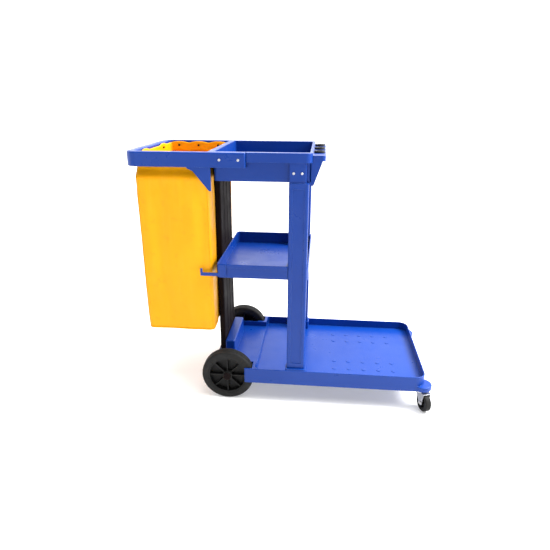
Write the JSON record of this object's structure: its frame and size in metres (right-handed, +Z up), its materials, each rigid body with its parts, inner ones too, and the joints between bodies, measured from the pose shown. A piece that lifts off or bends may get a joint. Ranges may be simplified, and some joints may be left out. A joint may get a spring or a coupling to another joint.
{
  "type": "janitor cart",
  "caption": "Wheeled moulded cleaning cart with a low front deck, two trays on uprights, a rear handle frame holding a zipped bag, large rear wheels and front swivel casters.",
  "frame": {"origin": "on the floor, at the middle of the overall box", "axes": "+X towards the front of the deck, +Y to the left side, +Z up"},
  "size_m": [1.148, 0.565, 0.98],
  "materials": {
    "blue_plastic": "satin moulded",
    "dark_plastic": "satin moulded",
    "black_rubber": "matt",
    "yellow_vinyl": "coated, soft sheen",
    "zip_cloth": "woven tape",
    "steel": "zinc plated",
    "zinc": "zinc plated, pressed",
    "brass": "machined",
    "nylon": "plain",
    "hub_plastic": "satin moulded",
    "tyre": "matt"
  },
  "bodies": {
    "cart": {"base_platform": "blue_plastic", "rear_column": "dark_plastic", "top_tray": "blue_plastic", "mid_tray": "blue_plastic", "tool_rack": "blue_plastic", "tool_grips": "black_rubber", "handle_frame": "blue_plastic", "bag_pegs": "dark_plastic", "bag": "yellow_vinyl", "bag_eyelets": "steel", "zip_tape": "zip_cloth", "zip_teeth": "dark_plastic", "side_hooks": "blue_plastic", "rear_axle": "steel", "axle_washers": "steel", "post_screws": "steel", "column_screws": "steel", "handle_screws": "steel", "rack_screws": "steel", "front_post_right": "blue_plastic", "axle_cap_right": "dark_plastic", "caster_stem_right": "steel", "caster_insert_right": "brass", "caster_raceway_right": "zinc", "front_post_left": "blue_plastic", "axle_cap_left": "dark_plastic", "caster_stem_left": "steel", "caster_insert_left": "brass", "caster_raceway_left": "zinc"},
    "zip": {"zip_slider": "steel", "zip_pull": "steel"},
    "wheel_right": {"rear_tyre_right": "tyre", "rear_hub_right": "hub_plastic", "rear_bush_right": "nylon"},
    "fork_right": {"caster_fork_right": "zinc", "caster_axle_right": "steel", "caster_nut_right": "steel"},
    "caster_wheel_right": {"caster_tyre_right": "tyre", "caster_hub_right": "hub_plastic"},
    "wheel_left": {"rear_tyre_left": "tyre", "rear_hub_left": "hub_plastic", "rear_bush_left": "nylon"},
    "fork_left": {"caster_fork_left": "zinc", "caster_axle_left": "steel", "caster_nut_left": "steel"},
    "caster_wheel_left": {"caster_tyre_left": "tyre", "caster_hub_left": "hub_plastic"}
  },
  "joints": [
    {"name": "zip_slide", "type": "slide", "parent": "cart", "child": "zip", "axis": [0, 0, 1], "range_m": [-0.49, 0]},
    {"name": "rear_wheel_spin_right", "type": "hinge", "parent": "cart", "child": "wheel_right", "pos_m": [-0.2335, -0.218, 0.104], "axis": [0, 1, 0], "continuous": true},
    {"name": "caster_swivel_right", "type": "hinge", "parent": "cart", "child": "fork_right", "pos_m": [0.538, -0.222, 0.0835], "axis": [0, 0, 1], "continuous": true},
    {"name": "caster_wheel_spin_right", "type": "hinge", "parent": "fork_right", "child": "caster_wheel_right", "pos_m": [0.54621, -0.24455, 0.0375], "axis": [0.9397, 0.342, 0], "continuous": true},
    {"name": "rear_wheel_spin_left", "type": "hinge", "parent": "cart", "child": "wheel_left", "pos_m": [-0.2335, 0.218, 0.104], "axis": [0, 1, 0], "continuous": true},
    {"name": "caster_swivel_left", "type": "hinge", "parent": "cart", "child": "fork_left", "pos_m": [0.538, 0.222, 0.0835], "axis": [0, 0, 1], "continuous": true},
    {"name": "caster_wheel_spin_left", "type": "hinge", "parent": "fork_left", "child": "caster_wheel_left", "pos_m": [0.54621, 0.24455, 0.0375], "axis": [-0.9397, 0.342, 0], "continuous": true}
  ]
}
